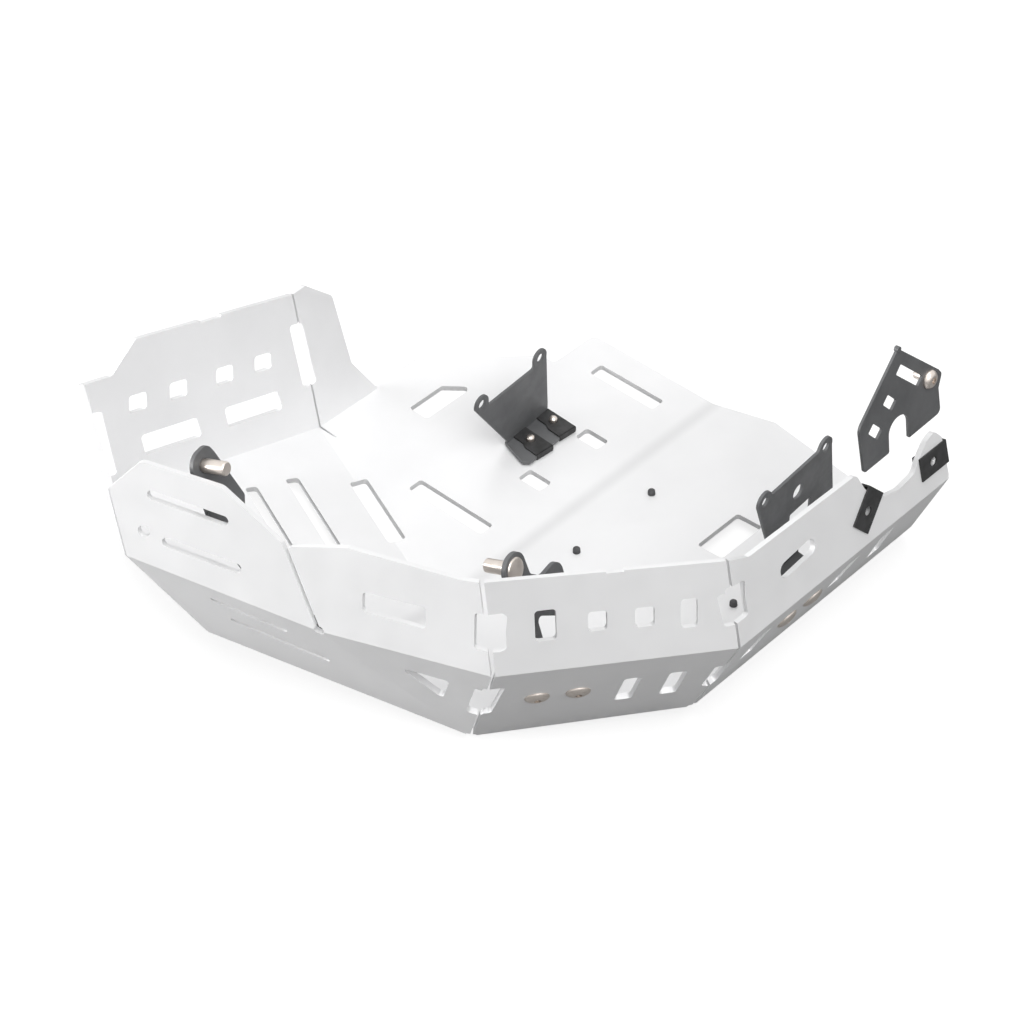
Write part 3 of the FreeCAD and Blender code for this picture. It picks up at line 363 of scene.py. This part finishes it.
# Centre clip nuts: folded spring-steel clips, black phosphated and oiled, pushed over the bracket's base.
# Each has a narrow tail and a wider fold, and its threaded hole takes a screw from under the floor.
black_deep, black_pale = (0.012, 0.012, 0.012), (0.028, 0.028, 0.029)
black, tree, shader = new_finish("black_phosphate")
mottled(tree, shader.inputs["Base Color"], black_deep, black_pale, scale=180, detail=4)
mottled(tree, shader.inputs["Roughness"], grey(0.5), grey(0.68), scale=70, detail=3)
pitted(tree, shader, scale=1500, detail=2, strength=0.15, depth=0.00008)
clip_lean, clip_bore = -8, 6.3
leaf = [(-12.5, -6.6, 1), (-0.5, -6.6, 2), (3.5, -8.6, 2), (15.8, -8.6, 0.8), (15.8, 7.4, 0.8), (-12.5, 6.6, 1)]
upper_rise, upper_thick, lower_drop, lower_thick = 0.0013, 1.2, 0.0025, 1.0
fold = [(-0.6, 1.9, 0.4), (-0.6, -1.9, 0.4), (0.9, -1.9, 0.6), (0.9, 1.9, 0.6)]
fold_reach, fold_level, fold_side, fold_length = 0.0152, -0.0006, 7.2, 15.6
sky_way = Vector((0, 0, 1))
clip_way = Matrix.Rotation(math.radians(clip_lean), 3, "Z") @ Vector(upright_out)
clip_outlines = [eased_outline(leaf), bore(0, 0, clip_bore)]
bm = bmesh.new()
for hole_x, hole_y in base_holes:
    spot = centre_base @ Vector((hole_x, hole_y, 0))
    cut_plate(bm, clip_outlines, seated(spot + sky_way * upper_rise, clip_way, sky_way), upper_thick)
    cut_plate(bm, clip_outlines, seated(spot - sky_way * lower_drop, clip_way, sky_way), lower_thick)
    fold_seat = seated(spot + clip_way * fold_reach + sky_way * fold_level, clip_way, sky_way.cross(clip_way))
    cut_plate(bm, [eased_outline(fold)], fold_seat @ Matrix.Translation((0, 0, fold_side)), fold_length)
clip_mesh = made(bm, "centre_clips_black")
dressed(fitted(clip_mesh, "centre_clips_black", "centre_clip_nuts", width=0.0001, segments=1, angle=40), black)


# Rim clip nuts: spring clips of the same black steel, pushed over the rear wall's edge by the pipe cut-out
# and at its end. They stay loose on the edge until a screw draws them tight.
dressed(fitted(nodes["rim_clip_nuts"].data.copy(), "rim_clips_black", "rim_clip_nuts", width=0.0004), black)


# Floor studs: small moulded rubber stops with domed tops, pushed into the rear floor.
# They are matt black and keep the engine off the sheet.
rubber_deep, rubber_pale = (0.05, 0.05, 0.052), (0.085, 0.085, 0.088)
rubber, tree, shader = new_finish("stop_rubber")
mottled(tree, shader.inputs["Base Color"], rubber_deep, rubber_pale, scale=300, detail=3)
shader.inputs["Roughness"].default_value = 0.75
pitted(tree, shader, scale=1800, detail=2, strength=0.2, depth=0.00008)


def ringed(bm, place, radius, height, sides):
    """A ring of vertices round the local Z axis."""
    steps = [2 * math.pi * k / sides for k in range(sides)]
    return [bm.verts.new(place @ Vector((radius * math.cos(a), radius * math.sin(a), height))) for a in steps]


def turned(bm, profile, place, sides=48):
    """Add a turned surface from a (radius, height) profile; an end of radius 0 closes on the axis."""
    rings = []
    for radius, height in profile:
        rings.append(ringed(bm, place, radius, height, sides if radius else 1))
    for low, high in zip(rings, rings[1:]):
        for k in range(sides):
            n = (k + 1) % sides
            around = [low[k % len(low)], low[n % len(low)], high[n % len(high)], high[k % len(high)]]
            bm.faces.new(list(dict.fromkeys(around)))


stud_up = (-0.06976, 0, 0.99756)
stud_profile = [(0, 0), (2.7, 0), (2.6, 2.4), (2.45, 3.2), (2.0, 3.7), (1.2, 3.95), (0, 4.0)]
stud_spots = ((0.12972, -0.0666, 0.00633), (0.12852, 0.0126, 0.00625), (0.24592, -0.0407, 0.01446))
bm = bmesh.new()
for spot in stud_spots:
    turned(bm, stud_profile, seated(spot, (0, 1, 0), stud_up))
dressed(fitted(made(bm, "floor_stops"), "floor_stops", "floor_studs"), rubber)


# Flush screws: stainless countersunk screws, driven from under the floor, whose domed tips stand up inside.
# Two hold the centre bracket in its clips and two hold the front bracket in its nuts.
steel_deep, steel_pale = (0.72, 0.655, 0.60), (0.77, 0.705, 0.65)
steel, tree, shader = new_finish("warm_stainless")
shader.inputs["Metallic"].default_value = 1.0
mottled(tree, shader.inputs["Base Color"], steel_deep, steel_pale, scale=240, detail=3)
mottled(tree, shader.inputs["Roughness"], grey(0.30), grey(0.36), scale=800, detail=3)


def socketed(bm, profile, place, across=4, deep=2.2, sides=48):
    """Add a turned solid whose first end has a hexagon socket; the profile starts at the socket's rim."""
    rim_radius, rim_height = profile[0]
    rim = ringed(bm, place, rim_radius, rim_height, sides)
    key = across / 2 / math.cos(math.pi / 6)
    mouth = ringed(bm, place, key, rim_height, 6)
    bottom = ringed(bm, place, key, rim_height + deep, 6)
    per = sides // 6
    for k in range(6):
        n = (k + 1) % 6
        edge = [rim[(k * per + j) % sides] for j in range(per + 1)]
        bm.faces.new([mouth[k]] + edge + [mouth[n]])
        bm.faces.new([mouth[k], mouth[n], bottom[n], bottom[k]])
    bm.faces.new(bottom)
    turned(bm, profile, place, sides)


def screwed(node, profile, spots, along, inwards):
    """The bright screws of one node, each with its head at a spot and its shank pointing inwards."""
    bm = bmesh.new()
    for spot in spots:
        socketed(bm, profile, seated(spot, along, inwards))
    dressed(fitted(made(bm, node + "_bright"), node + "_bright", node), steel)


flush_head = [(5.6, 0), (6.0, 0.15), (3.0, 3.0)]
short_profile = flush_head + [(3.0, 10.2), (2.9, 10.9), (2.5, 11.6), (1.5, 12.1), (0, 12.3)]
long_profile = flush_head + [(3.0, 13.8), (2.6, 14.6), (1.5, 14.9), (0, 15.0)]
centre_spots = ((0.02967, -0.00412, 0), (0.02785, 0.02182, 0))
front_spots = ((0.06963, -0.2479, 0.01926), (0.06387, -0.26239, 0.02286))
screwed("centre_screws", short_profile, centre_spots, (1, 0, 0), (0, 0, 1))
screwed("front_screws", long_profile, front_spots, (0.92913, -0.36975, 0), (0.08317, 0.20901, 0.97437))


# Wide-head screws: stainless screws with low domed heads and hexagon sockets, put in from outside.
# They go through the strips into the side and corner brackets' feet, with a plain nut on each inside.
wide_profile = [(2.7, -2.9), (3.6, -2.8), (5.2, -2.4), (6.8, -1.7), (7.8, -0.9), (8.0, -0.4), (7.9, 0),
                (3.0, 0), (3.0, 12.2), (2.4, 13.0), (0, 13.0)]
side_spots = ((0.31403, -0.07505, 0.07251), (0.31403, -0.04905, 0.07251))
corner_spots = ((0.24191, -0.22962, 0.06747), (0.25807, -0.20967, 0.0686))
screwed("side_screws", wide_profile, side_spots, (0, 1, 0), (-0.89879, 0, 0.43837))
screwed("corner_screws", wide_profile, corner_spots, (0.62871, 0.77639, 0.04396), (-0.70562, 0.54581, 0.45188))


# Nuts: plain zinc-plated hexagon nuts with eased corners, one on each wide-head or front screw.
# They bear on the brackets' feet inside the tub.
zinc_deep, zinc_pale = (0.55, 0.52, 0.49), (0.66, 0.63, 0.60)
zinc, tree, shader = new_finish("zinc_plate")
shader.inputs["Metallic"].default_value = 1.0
mottled(tree, shader.inputs["Base Color"], zinc_deep, zinc_pale, scale=300, detail=3)
mottled(tree, shader.inputs["Roughness"], grey(0.30), grey(0.44), scale=700, detail=3)
for nut in ("side_nuts", "corner_nuts", "front_nuts"):
    dressed(fitted(nodes[nut].data.copy(), nut + "_zinc", nut, width=0.0006), zinc)


# Pins: turned stainless pins, riveted through the lugs with a broad flat head.
# Each has a neck, a shoulder and a chamfered tip, and takes an eye of the engine.
front_lug = Vector((0.04591, -0.31475, 0.19573))
lug_thick = 0.003
pin_profile = [(0, -1.3), (6.8, -1.2), (7.7, -0.9), (8.0, -0.5), (8.0, 0), (4.0, 0), (4.0, 4.5), (4.35, 4.5),
               (4.5, 4.7), (4.5, 19.6), (4.35, 20.3), (3.7, 20.9), (0, 20.9)]
for node, spot, way in (("corner_pin", corner_lug, pin_axis * -1),
                        ("front_pin", front_lug - pin_axis * lug_thick, pin_axis)):
    bm = bmesh.new()
    turned(bm, pin_profile, seated(spot, pin_side, way))
    dressed(fitted(made(bm, node + "_bright"), node + "_bright", node), steel)


# Pipe screw: one stainless button-head screw with a hexagon socket, through the pipe bracket's upper corner.
# Its shank waits for the machine's thread.
button_profile = [(2.7, -4.1), (3.6, -3.95), (5.0, -3.2), (6.1, -1.9), (6.5, -0.6), (6.4, 0), (3.0, 0),
                  (3.0, 10.2), (2.4, 11.0), (0, 11.0)]
screwed("pipe_screw", button_profile, [(0.30118, 0.076, 0.16941)], pipe_way, Vector(pipe_out) * -1)


# Studio: a pale floor and a white surround under large soft lamps, as for a catalogue picture.
# The floor keeps the tub's soft shadow, and the camera alone sees it lifted to white.
floor_radius, floor_drop, floor_grey, floor_lift, surround_level = 9.0, 0.0005, 0.30, 0.78, 0.24
bm = bmesh.new()
bmesh.ops.create_circle(bm, cap_ends=True, segments=96, radius=floor_radius)
floor_mesh = made(bm, "studio_floor")
floor = bpy.data.objects.new("studio_floor", floor_mesh)
bpy.context.scene.collection.objects.link(floor)
floor.location = (0, 0, -floor_drop)
pale = bpy.data.materials.new("pale_floor")
pale.use_nodes = True
tree = pale.node_tree
tree.nodes.clear()
surface = tree.nodes.new("ShaderNodeOutputMaterial")
both = tree.nodes.new("ShaderNodeAddShader")
matt = tree.nodes.new("ShaderNodeBsdfDiffuse")
matt.inputs["Color"].default_value = (*grey(floor_grey), 1)
glow = tree.nodes.new("ShaderNodeEmission")
glow.inputs["Color"].default_value = (1, 1, 1, 1)
path = tree.nodes.new("ShaderNodeLightPath")
tree.links.new(worked(tree, "MULTIPLY", path.outputs["Is Camera Ray"], floor_lift), glow.inputs["Strength"])
tree.links.new(matt.outputs[0], both.inputs[0])
tree.links.new(glow.outputs[0], both.inputs[1])
tree.links.new(both.outputs[0], surface.inputs["Surface"])
floor_mesh.materials.append(pale)

world = bpy.data.worlds.new("white_surround")
bpy.context.scene.world = world
world.use_nodes = True
tree = world.node_tree
sky = tree.nodes["Background"]
path = tree.nodes.new("ShaderNodeLightPath")
straight = worked(tree, "MAXIMUM", path.outputs["Is Camera Ray"], path.outputs["Is Glossy Ray"])
seen = worked(tree, "MAXIMUM", straight, path.outputs["Is Transmission Ray"])
tree.links.new(ranged(tree, seen, 0.0, 1.0, surround_level, 1.0), sky.inputs["Strength"])
sky.inputs["Color"].default_value = (1, 1, 1, 1)


def soft_lamp(name, towards, distance, size, power):
    """A square softbox that looks at the middle of the tub from a direction."""
    data = bpy.data.lights.new(name, "AREA")
    data.shape = "SQUARE"
    data.size = size
    data.energy = power
    lamp = bpy.data.objects.new(name, data)
    bpy.context.scene.collection.objects.link(lamp)
    middle = Vector((0.08, -0.1, 0.08))
    way = Vector(towards).normalized()
    lamp.location = middle + way * distance
    lamp.rotation_euler = way.to_track_quat("Z", "Y").to_euler()


soft_lamp("key_box", (0.58, -0.22, 0.78), 3.0, 2.0, 64)
soft_lamp("top_box", (-0.1, 0, 1), 3.2, 2.6, 46)
soft_lamp("low_fill", (-0.68, -0.73, 0.0), 2.2, 1.3, 98)

eye = Vector((1.0911, -1.1681, 1.3794))
aim = Vector((0.06538, -0.06186, 0.0))
view = bpy.data.cameras.new("catalogue_view")
view.lens = 103.7
view.sensor_width = 36
view.clip_end = 50
camera = bpy.data.objects.new("catalogue_view", view)
bpy.context.scene.collection.objects.link(camera)
camera.location = eye
camera.rotation_euler = (eye - aim).to_track_quat("Z", "Y").to_euler()
bpy.context.scene.camera = camera
bpy.context.scene.view_settings.view_transform = "Standard"
